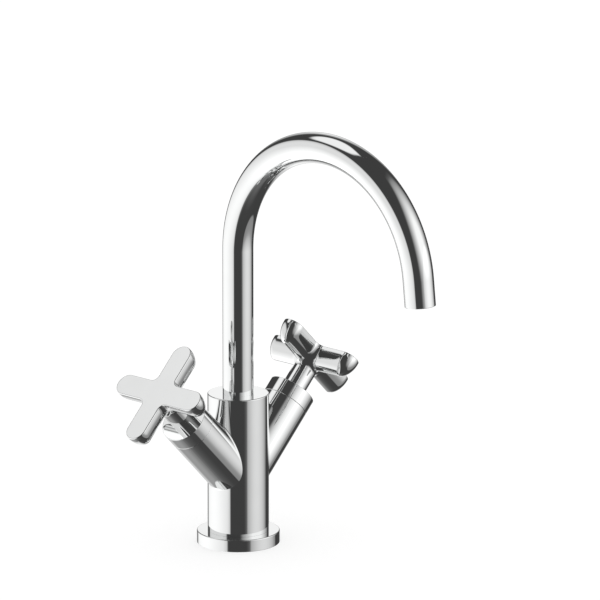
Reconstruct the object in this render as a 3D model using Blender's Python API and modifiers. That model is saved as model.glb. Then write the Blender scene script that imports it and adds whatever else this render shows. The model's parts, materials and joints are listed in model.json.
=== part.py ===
"""Two-handle basin mixer with a swivel gooseneck spout.

Frame: metres, +Z up, origin on the barrel's axis at the deck. The spout points to -Y at rest,
the left valve leans to -X and the right valve to +X. The sizes below are in millimetres.
"""

import math

import bmesh
import bpy
from mathutils import Vector

MM = 0.001
GAP = 0.3  # clearance between touching pieces
EDGE = 0.4  # small chamfer on visible edges

# Base and barrel
FLANGE_R = 25.0
FLANGE_H = 7.5
FOOT_R = 17.0
FOOT_GROOVE_R = 15.2
FOOT_GROOVE = (2.6, 4.6)
BARREL_R = 18.5
BARREL_TOP = 92.8

# Branches and valves, with heights measured along the branch from where its axis leaves the barrel's
BRANCH_Z = 38.0
BRANCH_LEAN = math.radians(45)
BRANCH_R = 14.5
BRANCH_END = 56.8
BONNET_TOP = 66.6
BONNET_PLATE = 1.5
BONNET_INNER_R = 13.1
COUNTERBORE_R = 12.0
COUNTERBORE_FLOOR = 55.0
VALVE_BORE_R = 10.6
SEAT = 34.0
DISC_R = 7.7
DISC_H = 3.0
FIXED_DISC_FOOT = 37.2
MOVING_DISC_FOOT = FIXED_DISC_FOOT + DISC_H + GAP
SPINDLE_FOOT = MOVING_DISC_FOOT + DISC_H + GAP
PORT_R = 2.3
PORT_OFFSET = 4.0
STEM_R = 4.6
STEM_GROOVE_R = 3.0
STEM_SEALS = (54.6, 59.6)
CIRCLIP_Z = 63.85
CIRCLIP_H = 0.55

# Handles
NECK_R = 7.3
NECK_FOOT = 64.8
NECK_BORE_R = 5.3
NECK_BORE_TOP = 79.0
GRUB_Z = 74.0
GRUB_R = 1.75
SPLINE_R = 3.7
SPLINE_TOP = 77.5
BUSH_FOOT = 65.4
BUSH_R = 5.0
HANDLE_FACE = 96.8
HANDLE_R = 33.7
ARM_R = 7.0
ARM_WALL = 2.0
ARM_DROP = 11.7
ARM_FULLNESS = 1.8  # of the underside's section: 1 is a wedge, 2 an ellipse

# Spout
TUBE_R = 9.3
TUBE_WALL = 1.2
TUBE_FOOT = 84.2
ARCH_Z = 182.3
ARCH_R = 74.3
ARCH_SWEEP = math.radians(174)
OUTLET_RUN = 16.0
SOCKET_R = TUBE_R + 0.35
SOCKET_FLOOR = 63.0
SPOUT_BORE_R = 6.4
SPOUT_GROOVE_R = 7.4
SPOUT_SEALS = (76.2, 80.4)
STOP_Z = 70.0
STOP_TIP_R = 1.5
SWIVEL_HALF = math.radians(60)

# Inlets and fixing in the barrel's underside
INLET_X = 7.5
INLET_R = 4.6
INLET_DEPTH = 45.0
STUD_Y = 10.5
STUD_R = 3.4
STUD_DEPTH = 22.0

ROUND_LARGE = 40
ROUND_MEDIUM = 24
ROUND_SMALL = 20
ROUND_TINY = 16
RING_SIDES = 6
HEX = 6

FINISHES = {
    "chrome": ((0.82, 0.83, 0.84), 1.0, 0.06),
    "brass": ((0.78, 0.60, 0.30), 1.0, 0.30),
    "steel": ((0.60, 0.60, 0.61), 1.0, 0.35),
    "rubber": ((0.03, 0.03, 0.03), 0.0, 0.70),
    "ceramic": ((0.90, 0.89, 0.86), 0.0, 0.20),
    "plastic": ((0.85, 0.86, 0.88), 0.0, 0.45),
}


def clear_scene():
    for thing in list(bpy.data.objects):
        bpy.data.objects.remove(thing, do_unlink=True)


def new_collection(name):
    collection = bpy.data.collections.new(name)
    bpy.context.scene.collection.children.link(collection)
    return collection


def make_material(name):
    colour, metallic, roughness = FINISHES[name]
    material = bpy.data.materials.new(name)
    material.use_nodes = True
    shader = material.node_tree.nodes["Principled BSDF"]
    shader.inputs["Base Color"].default_value = (*colour, 1.0)
    shader.inputs["Metallic"].default_value = metallic
    shader.inputs["Roughness"].default_value = roughness
    return material


def make_empty(name, location, turn=(0.0, 0.0, 0.0)):
    empty = bpy.data.objects.new(name, None)
    empty.location = Vector(location) * MM
    empty.rotation_euler = turn
    empty.empty_display_size = 10 * MM
    PIECES.objects.link(empty)
    return empty


def place(name, mesh, parent, finish):
    piece = bpy.data.objects.new(name, mesh)
    piece.parent = parent
    if finish is None:
        CUTTERS.objects.link(piece)
        piece.hide_render = True
        piece.display_type = "WIRE"
    else:
        PIECES.objects.link(piece)
        mesh.materials.append(MATERIALS[finish])
    return piece


def turned(name, profile, steps, parent=None, finish=None):
    """A turned shape. Its (radius, height) profile runs down the outer side, closed if off the axis."""
    points = [(radius * MM, 0.0, height * MM) for radius, height in profile]
    edges = [(index, index + 1) for index in range(len(points) - 1)]
    if profile[0][0] > 0:
        edges.append((len(points) - 1, 0))
    mesh = bpy.data.meshes.new(name)
    mesh.from_pydata(points, edges, [])
    piece = place(name, mesh, parent, finish)
    screw = piece.modifiers.new("turn", "SCREW")
    screw.axis = "Z"
    screw.steps = steps
    screw.render_steps = steps
    screw.use_merge_vertices = True
    screw.merge_threshold = 0.00001
    return piece


def ring(name, inner, outer, low, high, steps, parent, finish):
    return turned(name, [(outer, high), (outer, low), (inner, low), (inner, high)], steps, parent, finish)


def o_ring(name, radius, thickness, height, parent):
    angles = [math.pi / 2 - math.tau * corner / RING_SIDES for corner in range(RING_SIDES)]
    profile = [(radius + thickness * math.cos(a), height + thickness * math.sin(a)) for a in angles]
    return turned(name, profile, ROUND_SMALL, parent, "rubber")


def rod(name, radius, low, high, steps, parent=None, finish=None):
    return turned(name, [(0, high), (radius, high), (radius, low), (0, low)], steps, parent, finish)


def mesh_object(name, solid, parent=None, finish=None):
    mesh = bpy.data.meshes.new(name)
    solid.to_mesh(mesh)
    solid.free()
    return place(name, mesh, parent, finish)


def add_rod(solid, spot, radius, low, high, sides):
    """Adds an upright rod at (x, y) to a bmesh, and returns its corners."""
    size = radius * MM
    depth = (high - low) * MM
    ends = {"radius1": size, "radius2": size, "cap_ends": True}
    made = bmesh.ops.create_cone(solid, segments=sides, depth=depth, **ends)
    corners = made["verts"]
    bmesh.ops.translate(solid, verts=corners, vec=Vector((*spot, (low + high) / 2)) * MM)
    return corners


def rods(name, spots, radius, low, high, sides, parent=None):
    """Cutter of several upright rods, one at each (x, y)."""
    solid = bmesh.new()
    for spot in spots:
        add_rod(solid, spot, radius, low, high, sides)
    return mesh_object(name, solid, parent)


def block(name, size, centre, parent=None):
    solid = bmesh.new()
    bmesh.ops.create_cube(solid, size=1.0)
    bmesh.ops.scale(solid, verts=solid.verts, vec=Vector(size) * MM)
    bmesh.ops.translate(solid, verts=solid.verts, vec=Vector(centre) * MM)
    return mesh_object(name, solid, parent)


def combine(piece, operation, *tools):
    for tool in tools:
        step = piece.modifiers.new(tool.name, "BOOLEAN")
        step.operation = operation
        step.object = tool


def settle_pieces():
    """Applies every piece's modifiers and shades it smooth, with its corners kept sharp."""
    graph = bpy.context.evaluated_depsgraph_get()
    settled = {}
    for piece in PIECES.objects:
        if piece.type == "MESH":
            settled[piece] = bpy.data.meshes.new_from_object(piece.evaluated_get(graph))
    for piece, mesh in settled.items():
        piece.modifiers.clear()
        piece.data = mesh
        mesh.name = piece.name
        mesh.shade_smooth()
        mesh.set_sharp_from_angle(angle=math.radians(32))
    for cutter in list(CUTTERS.objects):
        bpy.data.objects.remove(cutter, do_unlink=True)


def branch_axis(name, side):
    """An empty whose +Z runs out along a branch: side is -1 on the left and 1 on the right."""
    return make_empty(name, (0, 0, BRANCH_Z), (0, side * BRANCH_LEAN, 0))


def waterway(name, start, end, radius):
    """Cutter: a straight drilling between two points."""
    run = Vector(end) - Vector(start)
    drilling = rod(name, radius, 0, run.length, ROUND_SMALL)
    drilling.location = Vector(start) * MM
    drilling.rotation_euler = run.to_track_quat("Z", "Y").to_euler()
    return drilling


def make_barrel():
    groove_low, groove_high = FOOT_GROOVE
    shoulder = FLANGE_H + GAP
    return turned(
        "mixer_body",
        [
            (0, BARREL_TOP),
            (BARREL_R - EDGE, BARREL_TOP),
            (BARREL_R, BARREL_TOP - EDGE),
            (BARREL_R, shoulder),
            (FOOT_R, shoulder),
            (FOOT_R, groove_high),
            (FOOT_GROOVE_R, groove_high),
            (FOOT_GROOVE_R, groove_low),
            (FOOT_R, groove_low),
            (FOOT_R, 0),
            (0, 0),
        ],
        ROUND_LARGE,
        finish="chrome",
    )


def valve_bore(side, axis):
    """Cutter: the stepped bore that takes a valve, with the water's way in at its foot."""
    seat_way_r = 6.4
    seat_way_floor = SEAT - 3.0
    supply_r = 4.0
    supply_foot = 9.0
    return turned(
        f"{side}_valve_bore",
        [
            (0, BRANCH_END + 1),
            (COUNTERBORE_R, BRANCH_END + 1),
            (COUNTERBORE_R, COUNTERBORE_FLOOR),
            (VALVE_BORE_R, COUNTERBORE_FLOOR),
            (VALVE_BORE_R, SEAT),
            (seat_way_r, SEAT),
            (seat_way_r, seat_way_floor),
            (supply_r, seat_way_floor),
            (supply_r, supply_foot),
            (0, supply_foot),
        ],
        ROUND_MEDIUM,
        axis,
    )


def spout_socket():
    """Cutter: the blind bore that takes the spout's foot, with a sump where both waterways meet."""
    sump_r = 8.0
    sump_floor = 56.0
    return turned(
        "spout_socket",
        [
            (0, BARREL_TOP + 1),
            (SOCKET_R, BARREL_TOP + 1),
            (SOCKET_R, SOCKET_FLOOR),
            (sump_r, SOCKET_FLOOR),
            (sump_r, sump_floor),
            (0, sump_floor),
        ],
        ROUND_LARGE,
    )


def make_mixer_body(axes):
    outlet_way_r = 3.0
    stop_hole_r = 2.3
    body = make_barrel()
    for side, axis in axes.items():
        combine(body, "UNION", rod(f"{side}_branch", BRANCH_R, 0, BRANCH_END, ROUND_LARGE, axis))
    for side, axis in axes.items():
        outlet = waterway(f"{side}_outlet_way", (0, 0, 60), (SIDES[side] * 26, 0, 77.3), outlet_way_r)
        combine(body, "DIFFERENCE", valve_bore(side, axis), outlet)
    inlets = rods("inlet_ports", [(-INLET_X, 0), (INLET_X, 0)], INLET_R, -1, INLET_DEPTH, ROUND_SMALL)
    stud_hole = rods("stud_hole", [(0, STUD_Y)], STUD_R, -1, STUD_DEPTH, ROUND_SMALL)
    stop_hole = rod("stop_screw_hole", stop_hole_r, 8, 20, ROUND_TINY, STOP_AXIS)
    combine(body, "DIFFERENCE", spout_socket(), inlets, stud_hole, stop_hole)


def make_base():
    hole_r = FOOT_R + GAP
    recess_inner, recess_outer, recess_depth = 19.0, 23.0, 2.0
    turned(
        "base_flange",
        [
            (FLANGE_R - EDGE, FLANGE_H),
            (FLANGE_R, FLANGE_H - EDGE),
            (FLANGE_R, 0),
            (recess_outer, 0),
            (recess_outer, recess_depth),
            (recess_inner, recess_depth),
            (recess_inner, 0),
            (hole_r, 0),
            (hole_r, FLANGE_H),
        ],
        ROUND_LARGE,
        finish="chrome",
    )
    gasket_top = recess_depth - GAP
    ring("base_gasket", recess_inner + 0.4, recess_outer - 0.4, 0, gasket_top, ROUND_LARGE, None, "rubber")
    o_ring("flange_o_ring", FOOT_GROOVE_R + 1, 0.65, sum(FOOT_GROOVE) / 2, None)


def make_spout_lock():
    washer_foot = SOCKET_FLOOR + GAP
    ring("slide_washer", 8.3, 9.3, washer_foot, washer_foot + 1, ROUND_MEDIUM, None, "plastic")
    tip, shoulder, head = 8.0, 11.0, 18.0
    thread_r = 2.0
    profile = [(0, head), (thread_r, head), (thread_r, shoulder)]
    profile += [(STOP_TIP_R, shoulder), (STOP_TIP_R, tip), (0, tip)]
    screw = turned("spout_stop_screw", profile, ROUND_TINY, STOP_AXIS, "steel")
    combine(screw, "DIFFERENCE", rod("stop_screw_socket", 1.2, head - 2.5, head + 1, HEX, STOP_AXIS))


def arch_path():
    """Centre line of the spout tube, in mm, from its foot in the barrel to the outlet."""
    points = [Vector((0, 0, TUBE_FOOT))]
    bends = 30
    for bend in range(bends + 1):
        angle = ARCH_SWEEP * bend / bends
        points.append(Vector((0, ARCH_R * (math.cos(angle) - 1), ARCH_Z + ARCH_R * math.sin(angle))))
    heading = Vector((0, -math.sin(ARCH_SWEEP), math.cos(ARCH_SWEEP)))
    points.append(points[-1] + heading * OUTLET_RUN)
    return points


def make_spout_tube():
    curve = bpy.data.curves.new("spout_path", "CURVE")
    curve.dimensions = "3D"
    curve.bevel_depth = TUBE_R * MM
    curve.bevel_resolution = 5
    line = curve.splines.new("POLY")
    path = arch_path()
    line.points.add(len(path) - 1)
    for spot, point in zip(line.points, path):
        spot.co = (*(point * MM), 1.0)
    guide = bpy.data.objects.new("spout_path", curve)
    CUTTERS.objects.link(guide)
    bpy.context.view_layer.update()
    graph = bpy.context.evaluated_depsgraph_get()
    mesh = bpy.data.meshes.new_from_object(guide.evaluated_get(graph))
    tube = place("spout_tube", mesh, SWIVEL_AXIS, "chrome")
    wall = tube.modifiers.new("wall", "SOLIDIFY")
    wall.thickness = TUBE_WALL * MM
    wall.offset = -1


def make_spout_foot():
    """Brass ferrule: its spigot is fixed in the tube, and its lower end turns in the body's socket."""
    spigot_r = TUBE_R - TUBE_WALL - GAP
    spigot_top = 91.0
    collar = TUBE_FOOT - GAP
    groove_half = 1.2
    foot_z = SOCKET_FLOOR + 1.6
    profile = [(spigot_r, spigot_top), (spigot_r, collar), (TUBE_R, collar)]
    for height in reversed(SPOUT_SEALS):
        low, high = height - groove_half, height + groove_half
        profile += [(TUBE_R, high), (SPOUT_GROOVE_R, high), (SPOUT_GROOVE_R, low), (TUBE_R, low)]
    profile += [(TUBE_R, foot_z), (SPOUT_BORE_R, foot_z), (SPOUT_BORE_R, spigot_top)]
    foot = turned("spout_foot", profile, ROUND_MEDIUM, SWIVEL_AXIS, "brass")
    combine(foot, "DIFFERENCE", stop_slot())
    for place_name, height in zip(("lower", "upper"), SPOUT_SEALS):
        o_ring(f"spout_o_ring_{place_name}", SPOUT_GROOVE_R + 1.15, 0.75, height, SWIVEL_AXIS)


def stop_slot():
    """Cutter: part of a ring at the back of the spout's foot, where the stop screw's tip travels."""
    inner, outer, half_height = 7.5, 10.5, 1.9
    tip_half_angle = math.asin(STOP_TIP_R / 8)
    half_angle = SWIVEL_HALF + tip_half_angle + math.radians(2.5)
    start = math.pi / 2 - half_angle
    section = [(inner, -half_height), (outer, -half_height), (outer, half_height), (inner, half_height)]
    slot = bmesh.new()
    corners = [Vector((r * math.cos(start), r * math.sin(start), STOP_Z + z)) * MM for r, z in section]
    slot.faces.new([slot.verts.new(corner) for corner in corners])
    parts = slot.verts[:] + slot.edges[:] + slot.faces[:]
    bmesh.ops.spin(slot, geom=parts, cent=(0, 0, 0), axis=(0, 0, 1), angle=2 * half_angle, steps=24)
    bmesh.ops.recalc_face_normals(slot, faces=slot.faces)
    return mesh_object("stop_slot", slot)


def hole_grid(pitch, reach):
    """Centres of a triangular grid of holes, within a radius."""
    spots = []
    for row in range(-6, 7):
        for column in range(-6, 7):
            x = pitch * (column + (row % 2) / 2)
            y = pitch * row * math.sqrt(3) / 2
            if math.hypot(x, y) <= reach:
                spots.append((x, y))
    return spots


def make_aerator():
    """The outlet's own axis points back up the tube, with height 0 in the plane of its end."""
    axis = make_empty("outlet_axis", arch_path()[-1], (ARCH_SWEEP - math.pi, 0, 0))
    axis.parent = SWIVEL_AXIS
    housing_r, housing_bore_r, lip_r = 7.7, 6.9, 6.0
    housing_face, lip_top, housing_top = 0.6, 1.4, 8.6
    turned(
        "aerator_housing",
        [
            (housing_r, housing_top),
            (housing_r, housing_face),
            (lip_r, housing_face),
            (lip_r, lip_top),
            (housing_bore_r, lip_top),
            (housing_bore_r, housing_top),
        ],
        ROUND_MEDIUM,
        axis,
        "chrome",
    )
    disc_r = housing_bore_r - 0.35
    holes = hole_grid(2.6, 5.3)
    insert_low, insert_high = 1.7, 5.4
    screen_low, screen_high = 5.8, 6.3
    insert = rod("aerator_insert", disc_r, insert_low, insert_high, ROUND_SMALL, axis, "plastic")
    insert_holes = rods("insert_holes", holes, 0.9, insert_low - 1, insert_high + 1, HEX, axis)
    combine(insert, "DIFFERENCE", insert_holes)
    screen = rod("aerator_screen", disc_r, screen_low, screen_high, ROUND_SMALL, axis, "steel")
    screen_holes = rods("screen_holes", holes, 0.6, screen_low - 1, screen_high + 1, HEX, axis)
    combine(screen, "DIFFERENCE", screen_holes)
    seal_foot = housing_top + 0.4
    ring("aerator_seal", 6.2, housing_r, seal_foot, seal_foot + 1.4, ROUND_SMALL, axis, "rubber")


def make_housing(side, axis):
    """Brass shell of the valve, with a flange on the branch's end, a stem guide and two open windows."""
    skirt_r, skirt_bore_r = 9.6, 8.1
    skirt_foot, shoulder = 36.9, 48.0
    barrel_r, barrel_foot = 10.2, 50.0
    flange_r, flange_top = 12.6, 59.7
    guide_r, guide_bore_r, guide_top = 7.2, 5.0, 63.3
    flange_foot = BRANCH_END + 0.4
    housing = turned(
        f"{side}_cartridge_housing",
        [
            (guide_r, guide_top),
            (guide_r, flange_top),
            (flange_r, flange_top),
            (flange_r, flange_foot),
            (barrel_r, flange_foot),
            (barrel_r, barrel_foot),
            (skirt_r, barrel_foot - 0.4),
            (skirt_r, skirt_foot),
            (skirt_bore_r, skirt_foot),
            (skirt_bore_r, shoulder),
            (guide_bore_r, shoulder),
            (guide_bore_r, guide_top),
        ],
        ROUND_MEDIUM,
        axis,
        "brass",
    )
    combine(housing, "DIFFERENCE", block(f"{side}_windows", (7.0, 24.0, 5.5), (0, 0, 43.8), axis))


def make_bonnet_ring(side, axis):
    foot = BRANCH_END + GAP
    plate_foot = BONNET_TOP - BONNET_PLATE
    hole_r = NECK_R + 0.4
    turned(
        f"{side}_bonnet_ring",
        [
            (BRANCH_R - EDGE, BONNET_TOP),
            (BRANCH_R, BONNET_TOP - EDGE),
            (BRANCH_R, foot),
            (BONNET_INNER_R, foot),
            (BONNET_INNER_R, plate_foot),
            (hole_r, plate_foot),
            (hole_r, BONNET_TOP),
        ],
        ROUND_LARGE,
        axis,
        "chrome",
    )


def ported_disc(name, foot, spots, axis):
    """Ceramic disc with two ports."""
    disc = rod(name, DISC_R, foot, foot + DISC_H, ROUND_MEDIUM, axis, "ceramic")
    ports = rods(f"{name}_ports", spots, PORT_R, foot - 0.5, foot + DISC_H + 0.5, ROUND_TINY, axis)
    combine(disc, "DIFFERENCE", ports)


def make_valve(side, axis):
    """The parts of a valve that stay still."""
    make_housing(side, axis)
    make_bonnet_ring(side, axis)
    ring(f"{side}_seat_seal", 6.8, 8.9, SEAT + GAP, 36.6, ROUND_MEDIUM, axis, "rubber")
    ported_disc(f"{side}_fixed_disc", FIXED_DISC_FOOT, [(-PORT_OFFSET, 0), (PORT_OFFSET, 0)], axis)
    ring(f"{side}_thrust_washer", 5.1, DISC_R, 46.85, 47.65, ROUND_SMALL, axis, "plastic")
    o_ring(f"{side}_housing_o_ring", (VALVE_BORE_R + COUNTERBORE_R) / 2 - 0.2, 0.6, BRANCH_END - 0.8, axis)


def spindle_profile():
    """Outline from the shoulder under the splines down to the drive foot, with a groove for each ring."""
    shoulder = 65.0
    foot_r, foot_top = 7.2, 46.5
    clip_r, clip_low, clip_high = 3.6, 63.6, 64.7
    seal_half = 1.0
    profile = [(0, shoulder), (STEM_R, shoulder), (STEM_R, clip_high), (clip_r, clip_high)]
    profile += [(clip_r, clip_low), (STEM_R, clip_low)]
    for height in reversed(STEM_SEALS):
        low, high = height - seal_half, height + seal_half
        profile += [(STEM_R, high), (STEM_GROOVE_R, high), (STEM_GROOVE_R, low), (STEM_R, low)]
    profile += [(STEM_R, foot_top), (foot_r, foot_top), (foot_r, SPINDLE_FOOT), (0, SPINDLE_FOOT)]
    return profile


def make_spindle(side, axis):
    drive_slot_r, drive_slot_y, drive_slot_top = 2.6, 5.2, 46.2
    spindle = turned(f"{side}_spindle", spindle_profile(), ROUND_SMALL, axis, "brass")
    slots = rods(
        f"{side}_drive_slots",
        [(0, -drive_slot_y), (0, drive_slot_y)],
        drive_slot_r,
        SPINDLE_FOOT - 0.8,
        drive_slot_top,
        ROUND_TINY,
        axis,
    )
    combine(spindle, "UNION", splines(f"{side}_splines", SPLINE_R, 64.85, SPLINE_TOP, axis))
    combine(spindle, "DIFFERENCE", slots)
    for place_name, height in zip(("lower", "upper"), STEM_SEALS):
        o_ring(f"{side}_spindle_o_ring_{place_name}", STEM_GROOVE_R + 0.95, 0.65, height, axis)
    ring(f"{side}_circlip", 3.95, 6.0, CIRCLIP_Z, CIRCLIP_Z + CIRCLIP_H, ROUND_SMALL, axis, "steel")
    ported_disc(f"{side}_moving_disc", MOVING_DISC_FOOT, [(0, -PORT_OFFSET), (0, PORT_OFFSET)], axis)


def splines(name, radius, low, high, axis):
    """Toothed end: a rod whose every second edge is drawn in."""
    teeth = 16
    depth_ratio = 0.88
    solid = bmesh.new()
    corners = add_rod(solid, (0, 0), radius, low, high, 2 * teeth)
    for corner in corners:
        slot = round(math.atan2(corner.co.y, corner.co.x) / (math.pi / teeth))
        if slot % 2:
            corner.co.x *= depth_ratio
            corner.co.y *= depth_ratio
    return mesh_object(name, solid, axis)


def arm_pair(name, direction, axis, finish=None):
    """Two opposite arms as the hull of their round ends: flat face, short walls, deep rounded underside."""
    solid = bmesh.new()
    sides = 24
    dome_rows = 6
    rows = [(ARM_R - EDGE, HANDLE_FACE), (ARM_R, HANDLE_FACE - EDGE)]
    wall_foot = HANDLE_FACE - ARM_WALL
    for row in range(dome_rows + 1):
        turn = math.pi / 2 * row / dome_rows
        radius = ARM_R * math.cos(turn) ** (2 / ARM_FULLNESS)
        rows.append((radius, wall_foot - ARM_DROP * math.sin(turn) ** (2 / ARM_FULLNESS)))
    for end in (-1, 1):
        centre = Vector(direction) * end * (HANDLE_R - ARM_R)
        for radius, height in rows:
            for side in range(sides):
                turn = math.tau * side / sides
                spot = centre + Vector((radius * math.cos(turn), radius * math.sin(turn), height))
                solid.verts.new(spot * MM)
    bmesh.ops.remove_doubles(solid, verts=solid.verts, dist=0.01 * MM)
    bmesh.ops.convex_hull(solid, input=solid.verts)
    bmesh.ops.delete(solid, geom=[vert for vert in solid.verts if not vert.link_faces], context="VERTS")
    bmesh.ops.dissolve_limit(solid, angle_limit=math.radians(0.1), verts=solid.verts, edges=solid.edges)
    return mesh_object(name, solid, axis, finish)


def make_handle(side, axis):
    handle = arm_pair(f"{side}_handle", (1, 0, 0), axis, "chrome")
    neck = rod(f"{side}_neck", NECK_R, NECK_FOOT, 90, ROUND_MEDIUM, axis)
    bore = rod(f"{side}_neck_bore", NECK_BORE_R, NECK_FOOT - 1, NECK_BORE_TOP, ROUND_SMALL, axis)
    screw_axis = make_empty(f"{side}_grub_axis", (0, 0, GRUB_Z), (-math.pi / 2, 0, 0))
    screw_axis.parent = axis
    screw_hole = rod(f"{side}_grub_hole", GRUB_R + 0.35, 1, 8, ROUND_TINY, screw_axis)
    combine(handle, "UNION", arm_pair(f"{side}_cross_arms", (0, 1, 0), axis), neck)
    combine(handle, "DIFFERENCE", bore, screw_hole)
    bush_bore_r = SPLINE_R + 0.35
    bush_top = SPLINE_TOP + 0.2
    bush_name = f"{side}_spline_bush"
    bush = ring(bush_name, bush_bore_r, BUSH_R, BUSH_FOOT, bush_top, ROUND_SMALL, axis, "plastic")
    combine(bush, "DIFFERENCE", screw_hole)
    screw = rod(f"{side}_grub_screw", GRUB_R, bush_bore_r, 6.2, ROUND_TINY, screw_axis, "steel")
    combine(screw, "DIFFERENCE", rod(f"{side}_grub_socket", 0.9, BUSH_R + 0.2, 7, HEX, screw_axis))


clear_scene()
PIECES = new_collection("bathroom_mixer_faucet")
CUTTERS = new_collection("cutters")
MATERIALS = {name: make_material(name) for name in FINISHES}
SIDES = {"left": -1, "right": 1}
SWIVEL_AXIS = make_empty("spout_swivel_axis", (0, 0, 0))
STOP_AXIS = make_empty("stop_screw_axis", (0, 0, STOP_Z), (-math.pi / 2, 0, 0))
body_axes = {side: branch_axis(f"{side}_branch_axis", sign) for side, sign in SIDES.items()}
make_mixer_body(body_axes)
make_base()
make_spout_lock()
make_spout_tube()
make_spout_foot()
make_aerator()
for side_name, side_sign in SIDES.items():
    make_valve(side_name, body_axes[side_name])
    control_axis = branch_axis(f"{side_name}_control_axis", side_sign)
    make_spindle(side_name, control_axis)
    make_handle(side_name, control_axis)
bpy.context.view_layer.update()
settle_pieces()
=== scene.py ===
"""Looks of the two-handle basin mixer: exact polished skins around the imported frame, in a soft white studio.

Lengths are in millimetres until a mesh is built, which turns them into metres.
"""

import json
import math

import bpy
from mathutils import Matrix, Vector
from mathutils.geometry import tessellate_polygon


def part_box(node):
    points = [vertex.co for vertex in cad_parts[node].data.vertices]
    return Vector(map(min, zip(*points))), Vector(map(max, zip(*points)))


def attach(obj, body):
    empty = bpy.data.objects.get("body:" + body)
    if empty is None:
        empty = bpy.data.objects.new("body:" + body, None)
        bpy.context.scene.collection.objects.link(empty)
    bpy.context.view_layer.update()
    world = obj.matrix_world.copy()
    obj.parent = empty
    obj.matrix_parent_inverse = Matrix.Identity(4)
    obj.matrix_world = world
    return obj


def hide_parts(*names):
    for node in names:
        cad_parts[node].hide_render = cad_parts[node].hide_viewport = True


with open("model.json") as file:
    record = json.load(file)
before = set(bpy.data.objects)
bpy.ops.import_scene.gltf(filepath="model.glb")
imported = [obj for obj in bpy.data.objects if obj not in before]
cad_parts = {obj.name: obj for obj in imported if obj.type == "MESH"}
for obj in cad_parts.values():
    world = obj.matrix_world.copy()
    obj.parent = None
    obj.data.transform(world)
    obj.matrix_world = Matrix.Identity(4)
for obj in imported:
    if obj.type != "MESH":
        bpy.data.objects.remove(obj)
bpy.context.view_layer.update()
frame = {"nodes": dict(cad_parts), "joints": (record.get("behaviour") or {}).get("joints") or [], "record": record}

MM = 0.001
FULL = math.tau
RIGHT = math.pi / 2

# ---------------------------------------------------------------- sizes and places, read from the frame
JOINTS = {joint["name"]: joint for joint in frame["joints"]}
MOUNTS = {mount["name"]: mount for mount in frame["record"]["mounts"]}
SIDES = {"left": -1, "right": 1}


def high(node):
    """The highest corner of a CAD node's box, in mm."""
    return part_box(node)[1] / MM


def low(node):
    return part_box(node)[0] / MM


def span(node, joint):
    """How far a CAD node reaches along a joint's axis, in mm from the joint's point."""
    origin = Vector(JOINTS[joint]["pos_m"])
    axis = Vector(JOINTS[joint]["axis"])
    heights = [(corner.co - origin).dot(axis) / MM for corner in frame["nodes"][node].data.vertices]
    return min(heights), max(heights)


FLANGE_R = high("base_flange").y
FLANGE_H = high("base_flange").z
BARREL_R = high("mixer_body").y
BARREL_TOP = high("mixer_body").z
BRANCH_Z = JOINTS["right_handle_turn"]["pos_m"][2] / MM
LEAN = math.acos(JOINTS["right_handle_turn"]["axis"][2])
BRANCH_R = high("right_bonnet_ring").y
BONNET_FOOT, BONNET_TOP = span("right_bonnet_ring", "right_handle_turn")
NECK_FOOT, HANDLE_FACE = span("right_handle", "right_handle_turn")
HANDLE_R = high("right_handle").y
TUBE_FOOT = low("spout_tube").z
OUTLET = Vector((0, MOUNTS["outlet_face"]["pos_m"][1], MOUNTS["outlet_face"]["pos_m"][2])) / MM
HEADING = Vector(MOUNTS["outlet_face"]["axis"]).normalized()

# ---------------------------------------------------------------- sizes that the frame's boxes don't give
GAP = 0.3
SEAM = 0.02  # visible gap beside a piece that is pushed or screwed home
PARTING = 0.05  # visible line between a branch and its bonnet ring
BRANCH_END = BONNET_FOOT - PARTING
FILLET = 0.7  # where a branch runs into the barrel
SOFT_EDGE = 0.3  # rounding of the visible rims
TURNED_EDGE = 0.6  # rounding of the barrel's and the flange's top edges
SEAM_EDGE = 0.25  # rounding beside a parting line
HANDLE_EDGE = 0.6  # rounding between a handle's face and its sides
HIDDEN_EDGE = 0.2  # rounding of rims inside and underneath
GROOVE_EDGE = 0.1
SHOULDER = 1.0  # plain surface kept beside a rounded edge that shows
RIM = 0.5  # plain surface kept beside a rounded edge that is hidden
FOOT_R = 17.0
FOOT_GROOVE = (15.2, 2.6, 4.6)  # its floor's radius and its lower and upper side
GASKET_GROOVE = (19.0, 23.0, 2.0)  # inner radius, outer radius and depth
SOCKET_R = 9.65
SOCKET_LIP = 0.6
SOCKET_FLOOR = 63.0
SUMP_R = 8.0
SUMP_FLOOR = 56.0
STOP_HOLE = (70.0, 2.3)  # height and radius
# The two supply inlets and the stud's socket: x, y, radius and depth.
PORTS = [(-7.5, 0.0, 4.6, 45.0), (7.5, 0.0, 4.6, 45.0), (0.0, 10.5, 3.4, 22.0)]
PORT_EDGE = 0.4
# Radius and distance along the branch's axis, from the bore's end to the branch's face.
VALVE_BORE = [(0, 31), (6.4, 31), (6.4, 34), (10.6, 34), (10.6, 55.0), (12.0, 55.0)]
FLANGE_BORE_EDGE = 0.15
BONNET_INNER_R = 13.1
BONNET_PLATE = 1.5
NECK_R = 7.3
NECK_BORE_R = 5.3
NECK_BORE_TOP = 79.0
NECK_FILLET = 2.4
GRUB_HOLE = (74.0, 2.1)  # distance along the branch's axis, and radius
ARM_R = 7.0
ARM_WALL = 2.0
ARM_DROP = 11.7
ARM_FULLNESS = 1.8  # of the underside's section: 1 is a wedge, 2 an ellipse
CROTCH_R = 4.0
TUBE_R = 9.3
TUBE_WALL = 1.2
OUTLET_RUN = 16.0  # straight tube before the outlet
OUTLET_EDGE = 0.25
HOUSING_R = 7.7
HOUSING_BORE_R = 6.9
HOUSING_LIP_R = 6.0
HOUSING_LIP_EDGE = 0.35
HOUSING_FACE = 0.6
HOUSING_LIP_TOP = 1.4
HOUSING_TOP = 8.6
INSERT_R = 6.55
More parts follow.
